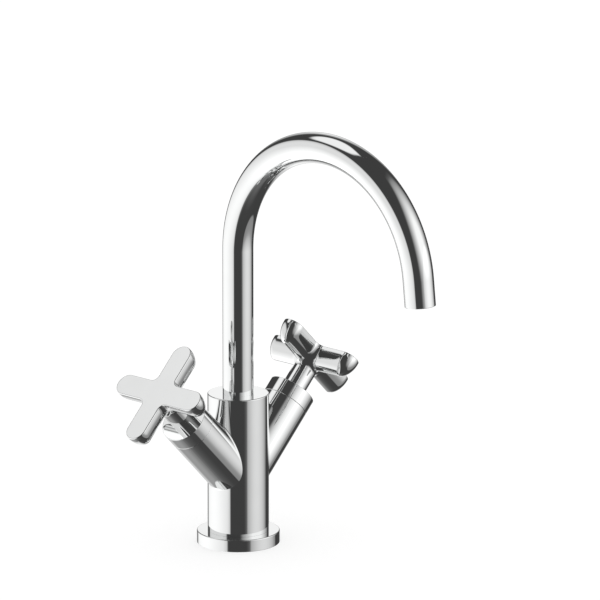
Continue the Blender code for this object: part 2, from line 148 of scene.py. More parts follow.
INSERT_LOW = 1.7
INSERT_HIGH = 5.4
CELL_R = 0.62
CELL_PITCH = 1.45
CELL_REACH = 5  # rows and columns tried each way from the middle
CELL_MARGIN = 0.3  # least wall round the cells
CELL_TWIST = 0.1  # keeps the corners of neighbouring cells off one straight line

# ---------------------------------------------------------------- how finely the surfaces are divided
EDGE_STEPS = 5
FILLET_STEPS = 8
ROUND = 144
BRANCH_STEPS = 96
TUBE_STEPS = 96
PORT_STEPS = 32
DISC_STEPS = 72
CELL_STEPS = 24
WELD_DIGITS = 3  # decimals of a millimetre to which welded points agree


# ---------------------------------------------------------------- exact surfaces
class Skin:
    """A closed surface made of grids of samples. A sample is a point and the surface's exact normal there."""

    def __init__(self):
        self.spots = {}
        self.points = []
        self.faces = []
        self.normals = []

    def corner(self, point):
        key = tuple(round(value, WELD_DIGITS) for value in point)
        if key not in self.spots:
            self.spots[key] = len(self.points)
            self.points.append(Vector(point))
        return self.spots[key]

    def face(self, samples):
        """Adds a face, welded to what is there and turned the way its normals point."""
        corners = []
        normals = []
        for point, normal in samples:
            corner = self.corner(point)
            if corner not in corners:
                corners.append(corner)
                normals.append(Vector(normal))
        if len(corners) < 3:
            return
        first = self.points[corners[0]]
        spokes = [self.points[corner] - first for corner in corners[1:]]
        facing = sum((a.cross(b) for a, b in zip(spokes, spokes[1:])), Vector())
        if facing.dot(sum(normals, Vector())) < 0:
            corners.reverse()
            normals.reverse()
        self.faces.append(corners)
        self.normals += normals

    def grid(self, rows):
        for below, above in zip(rows, rows[1:]):
            for index in range(len(below) - 1):
                self.face([below[index], below[index + 1], above[index + 1], above[index]])

    def flat(self, outline, holes, normal):
        """Fills a flat outline, less its holes."""
        loops = [[Vector(spot) for spot in loop] for loop in (outline, *holes)]
        spots = [spot for loop in loops for spot in loop]
        for triangle in tessellate_polygon(loops):
            self.face([(spots[index], normal) for index in triangle])

    def absorb(self, other, place):
        """Adds another skin's faces, moved by a matrix."""
        turn = place.to_3x3()
        taken = 0
        for corners in other.faces:
            normals = other.normals[taken : taken + len(corners)]
            taken += len(corners)
            self.face([(place @ other.points[c], turn @ n) for c, n in zip(corners, normals)])

    def build(self, name, place=Matrix.Identity(4)):
        turn = place.to_3x3()
        mesh = bpy.data.meshes.new(name)
        mesh.from_pydata([place @ point * MM for point in self.points], [], self.faces)
        mesh.shade_smooth()
        mesh.normals_split_custom_set([turn @ normal for normal in self.normals])
        piece = bpy.data.objects.new(name, mesh)
        bpy.context.scene.collection.objects.link(piece)
        return piece


def steps(start, end, count):
    return [start + (end - start) * index / count for index in range(count + 1)]


def around(count):
    return steps(0, FULL, count)


def turned_sample(radius, height, out, up, angle):
    """Sample of a turned surface, whose profile has the normal (out, up) there."""
    c, s = math.cos(angle), math.sin(angle)
    return Vector((radius * c, radius * s, height)), Vector((out * c, out * s, up))


def profile_runs(corners):
    """Smooth runs of (radius, height, out, up) along an outline of (radius, height, rounding) corners.

    The outline goes up a bore, outwards over a top and down an outer side.
    """
    spots = [Vector(corner[:2]) for corner in corners]
    roundings = [corner[2] if len(corner) > 2 else 0 for corner in corners]
    ways = [(b - a).normalized() for a, b in zip(spots, spots[1:])]
    normals = [Vector((-way.y, way.x)) for way in ways]
    cuts = [0.0] * len(spots)
    for index in range(1, len(spots) - 1):
        bend = ways[index - 1].angle(ways[index])
        cuts[index] = roundings[index] * math.tan(bend / 2)
    runs = []
    for index, (way, normal) in enumerate(zip(ways, normals)):
        start = spots[index] + way * cuts[index]
        end = spots[index + 1] - way * cuts[index + 1]
        runs.append([(*start, *normal), (*end, *normal)])
        if cuts[index + 1]:
            bend = normal.angle_signed(normals[index + 1])
            swell = roundings[index + 1] * (1 if bend > 0 else -1)
            centre = end - normal * swell
            run = []
            for turn in steps(0, bend, EDGE_STEPS):
                lean = Matrix.Rotation(-turn, 2) @ normal
                run.append((*(centre + lean * swell), *lean))
            runs.append(run)
    return runs


def lathe(skin, corners, angles):
    for run in profile_runs(corners):
        skin.grid([[turned_sample(*spot, angle) for angle in angles] for spot in run])


def drilled_wall(skin, radius, facing, angles, heights, window, hole):
    """A cylinder's wall with a round hole drilled through it along Y.

    window is the first column, the first row and the number of cells each way that the hole takes the place
    of. facing is 1 for an outer side and -1 for a bore. The samples of the hole's rim are returned.
    """
    height, hole_r = hole
    column, row, cells = window
    rows = [[turned_sample(radius, z, facing, 0, angle) for angle in angles] for z in heights]
    for j in range(len(heights) - 1):
        for i in range(len(angles) - 1):
            if not (column <= i < column + cells and row <= j < row + cells):
                skin.face([rows[j][i], rows[j][i + 1], rows[j + 1][i + 1], rows[j + 1][i]])
    frame_loop = [rows[row][column + k] for k in range(cells)]
    frame_loop += [rows[row + k][column + cells] for k in range(cells)]
    frame_loop += [rows[row + cells][column + cells - k] for k in range(cells)]
    frame_loop += [rows[row + cells - k][column] for k in range(cells)]
    rim = []
    for k in range(4 * cells):
        turn = -RIGHT / 2 - FULL * k / (4 * cells)
        x = hole_r * math.cos(turn)
        y = math.sqrt(radius * radius - x * x)
        rim.append((Vector((x, y, height + hole_r * math.sin(turn))), Vector((x, y, 0)) * facing / radius))
    skin.grid([close(frame_loop), close(rim)])
    return rim


def close(loop):
    return [*loop, loop[0]]


def hole_wall(skin, outer_rim, inner_rim, height):
    """The wall of a hole between its rims in an outer side and in a bore."""
    rows = []
    for rim in (outer_rim, inner_rim):
        rows.append([(spot, Vector((-spot.x, 0, height - spot.z)).normalized()) for spot, _ in close(rim)])
    skin.grid(rows)


# ---------------------------------------------------------------- body
BRANCH_OUT = Vector((math.sin(LEAN), 0, math.cos(LEAN)))
BRANCH_UP = Vector((-math.cos(LEAN), 0, math.sin(LEAN)))
BRANCH_ACROSS = Vector((0, -1, 0))
WALL_FOOT = FLANGE_H + SHOULDER
WALL_TOP = BARREL_TOP - SHOULDER
BRANCH_ROWS = 8
LOWER_ROWS = 14  # rows of faces below the branches
REAR_COLUMNS = 24
STOP_CELLS = 12  # cells each way that the stop screw's hole takes the place of
STOP_WINDOW = 4.0  # half the height of those cells
UPPER_ROWS = (6, STOP_CELLS, 6)  # rows of faces below, beside and above the stop screw's hole


def groove(turn):
    """Where a ball of the fillet's radius rests between barrel and branch, at a turn about the branch.

    Returns the ball's centre and the unit vectors from the barrel and from the branch to it.
    """
    reach = BRANCH_R + FILLET
    across = reach * math.sin(turn)
    out = math.sqrt((BARREL_R + FILLET) ** 2 - across * across)
    along = (out + reach * math.cos(turn) * math.cos(LEAN)) / math.sin(LEAN)
    from_branch = BRANCH_UP * math.cos(turn) + BRANCH_ACROSS * math.sin(turn)
    centre = Vector((0, 0, BRANCH_Z)) + BRANCH_OUT * along + from_branch * reach
    return centre, Vector((centre.x, centre.y, 0)).normalized(), from_branch


def branch_skin():
    """The right branch, from its fillet on the barrel to the bore for its valve."""
    skin = Skin()
    shoulder = BRANCH_END - SHOULDER
    origin = Vector((0, 0, BRANCH_Z))
    rows = []
    turns = around(BRANCH_STEPS)
    for turn in turns:
        centre, from_barrel, from_branch = groove(turn)
        line = []
        for share in steps(0, 1, FILLET_STEPS):
            normal = from_barrel.slerp(from_branch, share)
            line.append((centre - normal * FILLET, normal))
        start = (line[-1][0] - origin).dot(BRANCH_OUT)
        for along in steps(start, shoulder, BRANCH_ROWS)[1:]:
            line.append((origin + BRANCH_OUT * along + from_branch * BRANCH_R, from_branch))
        rows.append(line)
    skin.grid(rows)
    end = Skin()
    bore_r = VALVE_BORE[-1][0]
    rim = [(bore_r, BRANCH_END, SEAM_EDGE), (BRANCH_R, BRANCH_END, SEAM_EDGE), (BRANCH_R, shoulder)]
    lathe(end, [*VALVE_BORE, *rim], turns)
    place = Matrix((BRANCH_UP, BRANCH_ACROSS, BRANCH_OUT)).transposed().to_4x4()
    skin.absorb(end, Matrix.Translation(origin) @ place)
    return skin


def wall(columns):
    """Rows of samples on the barrel's outer side, one for each (angle, heights) column."""
    return [[turned_sample(BARREL_R, z, 1, 0, angle) for z in heights] for angle, heights in columns]


def add_socket(skin, turns, stop_column, stop_rows, outer_rim):
    """The spout's socket, the stop screw's hole through its wall, and the sump under it."""
    rows = [SOCKET_FLOOR, *stop_rows, WALL_TOP]
    inner_rim = drilled_wall(skin, SOCKET_R, -1, turns, rows, (stop_column, 1, STOP_CELLS), STOP_HOLE)
    hole_wall(skin, outer_rim, inner_rim, STOP_HOLE[0])
    sump = [(0, SUMP_FLOOR), (SUMP_R, SUMP_FLOOR), (SUMP_R, SOCKET_FLOOR), (SOCKET_R, SOCKET_FLOOR)]
    lathe(skin, sump, turns)


def add_barrel_ends(skin, turns):
    """The barrel's flat top round the spout, and its foot inside the flange."""
    lathe(
        skin,
        [
            (SOCKET_R, WALL_TOP),
            (SOCKET_R, BARREL_TOP - SOCKET_LIP),
            (TUBE_R + SEAM, BARREL_TOP - SOCKET_LIP),
            (TUBE_R + SEAM, BARREL_TOP, SEAM),
            (BARREL_R, BARREL_TOP, TURNED_EDGE),
            (BARREL_R, WALL_TOP),
        ],
        turns,
    )
    groove_r, groove_low, groove_high = FOOT_GROOVE
    lathe(
        skin,
        [
            (BARREL_R, WALL_FOOT),
            (BARREL_R, FLANGE_H + SEAM, SEAM),
            (FOOT_R, FLANGE_H + SEAM),
            (FOOT_R, groove_high, GROOVE_EDGE),
            (groove_r, groove_high),
            (groove_r, groove_low),
            (FOOT_R, groove_low, GROOVE_EDGE),
            (FOOT_R, RIM),
            (FOOT_R, 0, HIDDEN_EDGE),
            (FOOT_R - RIM, 0),
        ],
        turns,
    )


def add_underside(skin, turns):
    """The foot's flat end, with the supply inlets and the stud's socket in it."""
    mouths = []
    port_turns = around(PORT_STEPS)
    for x, y, radius, depth in PORTS:
        port = Skin()
        mouth_r = radius + PORT_EDGE
        lathe(port, [(mouth_r, 0), (radius, PORT_EDGE), (radius, depth), (0, depth)], port_turns)
        # A known fault: this turns the port's walls to face into the casting instead of out of it.
        port.normals = [-normal for normal in port.normals]
        skin.absorb(port, Matrix.Translation((x, y, 0)))
        mouth = [(x + mouth_r * math.cos(turn), y + mouth_r * math.sin(turn), 0) for turn in port_turns]
        mouths.append(mouth[:-1])
    foot = [turned_sample(FOOT_R - RIM, 0, 0, -1, angle)[0] for angle in turns[:-1]]
    skin.flat(foot, mouths, Vector((0, 0, -1)))


def make_body():
    skin = Skin()
    mirror = Matrix.Diagonal((-1, 1, 1, 1))
    branch = branch_skin()
    skin.absorb(branch, Matrix.Identity(4))
    skin.absorb(branch, mirror)

    # The wall beside a branch runs from the fillet's edge up to the plain wall's top and down to its foot.
    quarter = BRANCH_STEPS // 4
    turns = [FULL * index / BRANCH_STEPS for index in range(-quarter, quarter + 1)]
    uppers = [groove(turn)[0] for turn in turns]
    lowers = [groove(math.pi - turn)[0] for turn in turns]
    right_turns = [math.atan2(centre.y, centre.x) for centre in uppers]
    waist = uppers[0].z
    stop_z = STOP_HOLE[0]
    row_ends = [waist, stop_z - STOP_WINDOW, stop_z + STOP_WINDOW, WALL_TOP]
    heights = [waist]
    for start, end, count in zip(row_ends, row_ends[1:], UPPER_ROWS):
        heights += steps(start, end, count)[1:]
    shares = [(height - waist) / (WALL_TOP - waist) for height in heights]
    above = [[centre.z + (WALL_TOP - centre.z) * share for share in shares] for centre in uppers]
    below = [steps(WALL_FOOT, centre.z, LOWER_ROWS) for centre in lowers]
    beside = Skin()
    beside.grid(wall(zip(right_turns, above)))
    beside.grid(wall(zip(right_turns, below)))
    skin.absorb(beside, Matrix.Identity(4))
    skin.absorb(beside, mirror)

    # The front is plain, and the rear has the stop screw's hole.
    widest = abs(math.atan2(uppers[0].y, uppers[0].x))
    rear = steps(widest, math.pi - widest, REAR_COLUMNS)
    front = [-angle for angle in rear]
    plain_rows = [*steps(WALL_FOOT, waist, LOWER_ROWS), *heights[1:]]
    skin.grid([[turned_sample(BARREL_R, z, 1, 0, angle) for angle in front] for z in plain_rows])
    side_columns = (REAR_COLUMNS - STOP_CELLS) // 2
    window = (side_columns, LOWER_ROWS + UPPER_ROWS[0], STOP_CELLS)
    outer_rim = drilled_wall(skin, BARREL_R, 1, rear, plain_rows, window, STOP_HOLE)

    full_turn = sorted(right_turns) + rear[1:]
    full_turn += [math.pi - angle for angle in sorted(right_turns, reverse=True)][1:]
    full_turn += [FULL + angle for angle in sorted(front)][1:]
    stop_rows = steps(stop_z - STOP_WINDOW, stop_z + STOP_WINDOW, STOP_CELLS)
    add_socket(skin, full_turn, 2 * quarter + side_columns, stop_rows, outer_rim)
    add_barrel_ends(skin, full_turn)
    add_underside(skin, full_turn)
    return skin.build("mixer_body_skin")


def make_flange():
    skin = Skin()
    hole_r = FOOT_R + GAP
    groove_in, groove_out, groove_depth = GASKET_GROOVE
    lathe(
        skin,
        [
            (hole_r, 0),
            (hole_r, FLANGE_H, FLANGE_BORE_EDGE),
            (FLANGE_R, FLANGE_H, TURNED_EDGE),
            (FLANGE_R, 0, HIDDEN_EDGE),
            (groove_out, 0),
            (groove_out, groove_depth),
            (groove_in, groove_depth),
            (groove_in, 0),
            (hole_r, 0),
        ],
        around(ROUND),
    )
    return skin.build("base_flange_skin")


# ---------------------------------------------------------------- valves and handles
def branch_place(side):
    """Matrix that turns an upright piece to stand on a branch's axis."""
    return Matrix.Translation((0, 0, BRANCH_Z)) @ Matrix.Rotation(SIDES[side] * LEAN, 4, "Y")


def make_bonnet_ring(side):
    skin = Skin()
    hole_r = NECK_R + SEAM
    plate_foot = BONNET_TOP - BONNET_PLATE
    lathe(
        skin,
        [
            (BONNET_INNER_R, BONNET_FOOT + SHOULDER),
            (BONNET_INNER_R, plate_foot),
            (hole_r, plate_foot),
            (hole_r, BONNET_TOP, SEAM),
            (BRANCH_R, BONNET_TOP, SOFT_EDGE),
            (BRANCH_R, BONNET_FOOT, SEAM_EDGE),
            (BONNET_INNER_R, BONNET_FOOT, SEAM_EDGE),
            (BONNET_INNER_R, BONNET_FOOT + SHOULDER),
        ],
        around(ROUND),
    )
    return skin.build(f"{side}_bonnet_ring_skin", branch_place(side))


TIP_X = HANDLE_R - ARM_R
CROTCH_X = ARM_R + CROTCH_R
TIP_STEPS = 28
CROTCH_STEPS = 12
SIDE_STEPS = 5
DOME_STEPS = 14
MIDDLE_ROWS = 12
ARM_FOOT = HANDLE_FACE - ARM_WALL  # where the walls end and the domed underside starts
NECK_TOP = ARM_FOOT - ARM_DROP - NECK_FILLET - SHOULDER
NECK_ROWS = (3, 4)  # rows of faces below and above the grub screw's hole
GRUB_CELLS = 20  # cells each way that the grub screw's hole takes the place of
GRUB_WINDOW = 3.2  # half the height of those cells


def arm_sides():
    """(spot, inward way) round the +X arm's plan, from its right side round its tip to its left side."""
    right = [(Vector((x, -ARM_R)), Vector((0, 1))) for x in steps(CROTCH_X, TIP_X, SIDE_STEPS)]
    tip = []
    for turn in steps(-RIGHT, RIGHT, TIP_STEPS)[1:-1]:
        way = Vector((math.cos(turn), math.sin(turn)))
        tip.append((Vector((TIP_X, 0)) + way * ARM_R, -way))
    left = [(Vector((x, ARM_R)), Vector((0, -1))) for x in steps(TIP_X, CROTCH_X, SIDE_STEPS)]
    return right + tip + left


def crotch_side():
    """(spot, inward way) round the rounded corner between the +X and the +Y arm."""
    centre = Vector((CROTCH_X, CROTCH_X))
    sides = []
    for turn in steps(-RIGHT, -2 * RIGHT, CROTCH_STEPS):
        way = Vector((math.cos(turn), math.sin(turn)))
        sides.append((centre + way * CROTCH_R, way))
    return sides


def quarter_turn(way, quarter):
    return Matrix.Rotation(RIGHT * quarter, 2) @ way


def cross_outline():
    """(spot, inward way) all round the cross."""
    outline = []
    for quarter in range(4):
        for spot, inward in arm_sides() + crotch_side()[1:-1]:
            outline.append((quarter_turn(spot, quarter), quarter_turn(inward, quarter)))
    return outline


def inset(spot):
    """How far inside the cross's outline a spot near its middle lies, and the way that this grows."""
    centre = Vector((math.copysign(CROTCH_X, spot.x), math.copysign(CROTCH_X, spot.y)))
    way = spot - centre
    if way.length - CROTCH_R >= ARM_R:
        return ARM_R, Vector((0, 0))
    return max(way.length - CROTCH_R, 0.0), way.normalized()


def section(share):
    """Depth of an arm's underside at a share of its half width, and the normal's two parts."""
    drop = (1 - share**ARM_FULLNESS) ** (1 / ARM_FULLNESS)
    power = ARM_FULLNESS - 1
    normal = Vector((share**power * ARM_DROP, drop**power * ARM_R)).normalized()
    return ARM_DROP * drop, normal.x, normal.y


def underside(spot, blend):
    """Sample of the underside near its middle. blend is 0 outside the neck's fillet and 1 at the neck."""
    depth, way = inset(spot)
    drop, side, under = section((ARM_R - depth) / ARM_R)
    height = ARM_FOOT - drop
    flat = math.sqrt(1 - blend * blend)
    normal = Vector((0, 0, -flat * under))
    normal.xy = -way * side * flat + spot.normalized() * blend * under
    return Vector((*spot, height - NECK_FILLET * (1 - flat))), normal.normalized()


def add_face(skin):
    """The flat face with its rounded edge, and the walls below it."""
    outline = cross_outline()
    rows = []
    for turn in steps(0, RIGHT, EDGE_STEPS):
        row = []
        for spot, inward in close(outline):
            place = spot + inward * HANDLE_EDGE * (1 - math.sin(turn))
            normal = Vector((*(-inward * math.sin(turn)), math.cos(turn)))
            row.append((Vector((*place, HANDLE_FACE - HANDLE_EDGE * (1 - math.cos(turn)))), normal))
        rows.append(row)
    skin.flat([spot for spot, _ in rows[0][:-1]], [], Vector((0, 0, 1)))
    rows.append([(Vector((spot.x, spot.y, ARM_FOOT)), normal) for spot, normal in rows[-1]])
    skin.grid(rows)


def add_arms(skin):
    """The undersides of the four arms. The samples round the middle that they leave open are returned."""
    middle = []
    for quarter in range(4):
        dome = []
        for turn in steps(0, RIGHT, DOME_STEPS):
            share = max(math.cos(turn), 0) ** (2 / ARM_FULLNESS)
            drop, out, under = section(share)
            row = []
            for spot, inward in arm_sides():
                place = quarter_turn(spot + inward * ARM_R * (1 - share), quarter)
                way = quarter_turn(inward, quarter)
                row.append((Vector((*place, ARM_FOOT - drop)), Vector((*(-way * out), -under))))
            dome.append(row)
        skin.grid(dome)
        middle += [row[0] for row in dome] + [row[-1] for row in reversed(dome[:-1])]
        for spot, inward in crotch_side()[1:-1]:
            place = quarter_turn(spot, quarter)
            way = quarter_turn(inward, quarter)
            middle.append((Vector((*place, ARM_FOOT)), Vector((*(-way), 0))))
    return middle


def add_middle(skin, middle, turns):
    """The underside's middle and its fillet, down to the neck."""
    rows = [close(middle)]
    for bend in steps(0, RIGHT, MIDDLE_ROWS)[1:]:
        row = []
        for (spot, _), turn in zip(middle, turns):
            end = Vector((math.cos(turn), math.sin(turn))) * (NECK_R + NECK_FILLET)
            row.append(underside(spot.xy.lerp(end, 1 - math.cos(bend)), 0))
        rows.append(close(row))
    for bend in steps(0, RIGHT, FILLET_STEPS)[1:]:
        row = []
        for turn in turns[:-1]:
            radius = NECK_R + NECK_FILLET * (1 - math.sin(bend))
            row.append(underside(Vector((math.cos(turn), math.sin(turn))) * radius, math.sin(bend)))
        rows.append(close(row))
    rows.append([turned_sample(NECK_R, NECK_TOP, 1, 0, turn) for turn in turns])
    skin.grid(rows)


def add_neck(skin, turns):
    """The neck's outer side and its bore, with the grub screw's hole at the back."""
    grub_z = GRUB_HOLE[0]
    column = (len(turns) - 1) // 4 + DOME_STEPS - GRUB_CELLS // 2
    foot = NECK_FOOT + RIM
    lower, upper = NECK_ROWS
    windowed = steps(grub_z - GRUB_WINDOW, grub_z + GRUB_WINDOW, GRUB_CELLS)
    outer_rows = [*steps(foot, windowed[0], lower)[:-1], *windowed, *steps(windowed[-1], NECK_TOP, upper)[1:]]
    inner_rows = [foot, *windowed, NECK_BORE_TOP]
    outer_rim = drilled_wall(skin, NECK_R, 1, turns, outer_rows, (column, lower, GRUB_CELLS), GRUB_HOLE)
    # A known fault: this window is 0.07 mm too narrow for the hole, so hidden faces fold over at its rim.
    inner_rim = drilled_wall(skin, NECK_BORE_R, -1, turns, inner_rows, (column, 1, GRUB_CELLS), GRUB_HOLE)
    hole_wall(skin, outer_rim, inner_rim, grub_z)
    end = [
        (NECK_R, foot),
        (NECK_R, NECK_FOOT, HIDDEN_EDGE),
        (NECK_BORE_R, NECK_FOOT, HIDDEN_EDGE),
        (NECK_BORE_R, foot),
    ]
    lathe(skin, end, turns)
    roof = [turned_sample(NECK_BORE_R, NECK_BORE_TOP, 0, -1, turn) for turn in turns]
    skin.grid([roof, [(Vector((0, 0, NECK_BORE_TOP)), Vector((0, 0, -1)))] * len(roof)])


def make_handle(side):
    skin = Skin()
    add_face(skin)
    middle = add_arms(skin)
    columns = len(middle)
    start = -RIGHT * DOME_STEPS / (columns / 4)
    turns = [start + FULL * index / columns for index in range(columns + 1)]
    add_middle(skin, middle, turns)
    add_neck(skin, turns)
    return skin.build(f"{side}_handle_skin", branch_place(side))


# ---------------------------------------------------------------- spout
SWEEP = math.acos(HEADING.z)
ARCH_END = OUTLET - HEADING * OUTLET_RUN
ARCH_R = -ARCH_END.y / (1 - math.cos(SWEEP))
ARCH_Z = ARCH_END.z - ARCH_R * math.sin(SWEEP)
RISER_ROWS = 12
ARCH_ROWS = 132
OUTLET_ROWS = 4


def arch_stations():
    """(centre, heading) along the spout, from its foot to the shoulder of its outlet."""
    up = Vector((0, 0, 1))
    stations = [(Vector((0, 0, z)), up) for z in steps(TUBE_FOOT, ARCH_Z, RISER_ROWS)]
    for turn in steps(0, SWEEP, ARCH_ROWS)[1:]:
        centre = Vector((0, ARCH_R * (math.cos(turn) - 1), ARCH_Z + ARCH_R * math.sin(turn)))
        stations.append((centre, Vector((0, -math.sin(turn), math.cos(turn)))))
    for run in steps(0, OUTLET_RUN - SHOULDER, OUTLET_ROWS)[1:]:
        stations.append((ARCH_END + HEADING * run, HEADING))
    return stations


def make_spout():
    skin = Skin()
    turns = around(TUBE_STEPS)
    inner_r = TUBE_R - TUBE_WALL

    def ring_row(centre, heading, radius, out, ahead):
        across = Vector((1, 0, 0))
        side = heading.cross(across)
        row = []
        for turn in turns:
            way = across * math.cos(turn) + side * math.sin(turn)
            row.append((centre + way * radius, way * out + heading * ahead))
        return row

    stations = arch_stations()
    skin.grid([ring_row(centre, heading, TUBE_R, 1, 0) for centre, heading in stations])
    skin.grid([ring_row(centre, heading, inner_r, -1, 0) for centre, heading in stations])
    foot, up = stations[0]
    skin.grid([ring_row(foot, up, TUBE_R, 0, -1), ring_row(foot, up, inner_r, 0, -1)])
    shoulder = stations[-1][0]
    reach = (OUTLET - shoulder).length
    lip = [(inner_r, 0), (inner_r, reach, OUTLET_EDGE), (TUBE_R, reach, SOFT_EDGE), (TUBE_R, 0)]
    for run in profile_runs(lip):
        skin.grid([ring_row(shoulder + HEADING * z, HEADING, r, out, ahead) for r, z, out, ahead in run])
    return skin.build("spout_tube_skin")


def outlet_place():
    """Matrix that stands an upright piece in the outlet, its foot in the plane of the tube's end."""
    return Matrix.Translation(OUTLET) @ (-HEADING).to_track_quat("Z", "X").to_matrix().to_4x4()


def make_aerator_housing():
    skin = Skin()
    lathe(
        skin,
        [
            (HOUSING_BORE_R, HOUSING_TOP - RIM),
            (HOUSING_BORE_R, HOUSING_TOP, HIDDEN_EDGE),
            (HOUSING_R, HOUSING_TOP, HIDDEN_EDGE),
            (HOUSING_R, HOUSING_FACE, SOFT_EDGE),
            (HOUSING_LIP_R, HOUSING_FACE, HOUSING_LIP_EDGE),
            (HOUSING_LIP_R, HOUSING_LIP_TOP, HIDDEN_EDGE),
            (HOUSING_BORE_R, HOUSING_LIP_TOP),
            (HOUSING_BORE_R, HOUSING_TOP - RIM),
        ],
        around(BRANCH_STEPS),
    )
    return skin.build("aerator_housing_skin", outlet_place())


def make_aerator_insert():
    """Flow straightener: a disc of round cells with thin walls between them."""
    skin = Skin()
    turns = around(CELL_STEPS)
    disc_turns = around(DISC_STEPS)
    lathe(skin, [(INSERT_R, INSERT_HIGH), (INSERT_R, INSERT_LOW)], disc_turns)
    holes = []
    tried = range(-CELL_REACH, CELL_REACH + 1)
    for row in tried:
        for column in tried:
            spot = Vector((CELL_PITCH * (column + row % 2 / 2), CELL_PITCH * row * math.sqrt(3) / 2))
            if spot.length < INSERT_R - CELL_R - CELL_MARGIN:
                holes.append(spot)
    heights = (INSERT_LOW, INSERT_HIGH)
    rims = {height: [] for height in heights}
    for spot in holes:
        twist = CELL_TWIST * (spot.x + 2 * spot.y)
        ways = [Vector((math.cos(turn + twist), math.sin(turn + twist))) for turn in turns]
        cell = {z: [Vector((*(spot + way * CELL_R), z)) for way in ways] for z in heights}
        skin.grid([[(corner, Vector((*-way, 0))) for corner, way in zip(cell[z], ways)] for z in heights])
        for height in heights:
            rims[height].append(cell[height][:-1])
    for height, facing in zip(heights, (-1, 1)):
        outline = [turned_sample(INSERT_R, height, 1, 0, turn)[0] for turn in disc_turns[:-1]]
        skin.flat(outline, rims[height], Vector((0, 0, facing)))
    return skin.build("aerator_insert_skin", outlet_place())


# ---------------------------------------------------------------- materials
NOISE_LOW = 0.3
NOISE_HIGH = 0.7
BROADER = 12  # how much coarser the colour's noise is than the grain
BUMP_STRENGTH = 0.5


def node_setup(name):
    material = bpy.data.materials.new(name)
    material.use_nodes = True
    nodes = material.node_tree.nodes
    links = material.node_tree.links
    return material, nodes, links, nodes["Principled BSDF"]


def noise(nodes, links, scale, detail):
    """Noise over the object's own coordinates, in metres."""
    spot = nodes.new("ShaderNodeTexCoord")
    texture = nodes.new("ShaderNodeTexNoise")
    texture.inputs["Scale"].default_value = scale
    texture.inputs["Detail"].default_value = detail
    links.new(spot.outputs["Object"], texture.inputs["Vector"])
    return texture.outputs["Fac"]


def spread(nodes, links, value, low_value, high_value):
    """Maps the middle of the noise's range onto a range of values."""
    ranged = nodes.new("ShaderNodeMapRange")
    ranged.inputs["From Min"].default_value = NOISE_LOW
    ranged.inputs["From Max"].default_value = NOISE_HIGH
    ranged.inputs["To Min"].default_value = low_value
    ranged.inputs["To Max"].default_value = high_value
    links.new(value, ranged.inputs["Value"])
    return ranged.outputs["Result"]


def tint(nodes, links, value, dark, light):
    mix = nodes.new("ShaderNodeMix")
    mix.data_type = "RGBA"
    mix.inputs["A"].default_value = (*dark, 1)
    mix.inputs["B"].default_value = (*light, 1)
    links.new(value, mix.inputs["Factor"])
    return mix.outputs["Result"]


def bump(nodes, links, value, distance):
    bumped = nodes.new("ShaderNodeBump")
    bumped.inputs["Distance"].default_value = distance
    bumped.inputs["Strength"].default_value = BUMP_STRENGTH
    links.new(value, bumped.inputs["Height"])
    return bumped.outputs["Normal"]


def surface_material(name, metallic, dark, light, rough, grain, bump_size):
    """Principled material whose colour, roughness and bump all vary with a procedural grain."""
    material, nodes, links, shader = node_setup(name)
    shader.inputs["Metallic"].default_value = metallic
    broad = noise(nodes, links, grain / BROADER, 2)
    fine = noise(nodes, links, grain, 4)
    links.new(tint(nodes, links, spread(nodes, links, broad, 0, 1), dark, light), shader.inputs["Base Color"])
    links.new(spread(nodes, links, fine, *rough), shader.inputs["Roughness"])
    if bump_size:
        links.new(bump(nodes, links, fine, bump_size), shader.inputs["Normal"])
    return material


# Slot: name, metallic, dark and light colour, roughness range, noise per metre, and the height
# of the bumps in metres, or 0 for none.
SURFACES = {
    "chrome": ("polished_chrome", 1, (0.885, 0.892, 0.89), (0.905, 0.912, 0.91), (0.02, 0.045), 900, 0),
    "brass": ("machined_brass", 1, (0.64, 0.44, 0.17), (0.8, 0.6, 0.28), (0.22, 0.38), 2600, 0.00002),
    "steel": ("machined_steel", 1, (0.5, 0.5, 0.51), (0.62, 0.62, 0.63), (0.24, 0.4), 3000, 0.00002),
    "rubber": ("moulded_rubber", 0, (0.012, 0.012, 0.012), (0.03, 0.03, 0.03), (0.55, 0.75), 2400, 0.00003),
    "ceramic": ("lapped_ceramic", 0, (0.8, 0.78, 0.73), (0.88, 0.87, 0.84), (0.12, 0.24), 3200, 0),
    "plastic": ("moulded_plastic", 0, (0.72, 0.73, 0.74), (0.8, 0.81, 0.82), (0.35, 0.5), 1800, 0.00001),
}
MATERIALS = {slot: surface_material(*values) for slot, values in SURFACES.items()}


def finish(piece, slot):
    piece.data.materials.append(MATERIALS[slot])


# ---------------------------------------------------------------- studio
# Soft lights on a far sphere: turn and rise of the middle, half width and half height, all in degrees. Then
# come the brightness, the share of the radius that is evenly bright, the share of brightness left at the rim
# and the softness of the edge. Turns go from the camera's side of the object towards the picture's right.
STUDIO_LIGHTS = {
    "key_right": (75, 20, 65, 50, 1.0, 0.3, 0.1, 0.1),
    "key_low": (80, -15, 45, 30, 0.25, 0.5, 0.8, 0.05),
    "overhead": (-125, 60, 45, 20, 0.9, 0.8, 0.7, 0.1),
    "left_bank": (-90, -20, 60, 55, 0.75, 0.8, 0.8, 0.05),
    "left_low": (-105, -40, 85, 50, 0.6, 0, 0, 0.1),
    "back": (180, 15, 25, 25, 0.95, 0, 0, 0.1),
    "back_low": (-180, -45, 25, 40, 1.0, 0, 0.2, 0.2),
    "ground": (-90, -90, 180, 50, 0.1, 0.5, 0.1, 0.5),
}
SURROUND = 0.05
ROOM_LEVEL = 1.08  # the plain white that lights the floor
FLOOR_GLOW = 0.62  # the part of the floor's white that no shadow dims
FLOOR_DARK = (0.39, 0.39, 0.39)
FLOOR_LIGHT = (0.40, 0.40, 0.40)
FLOOR_GRAIN = 3  # per metre
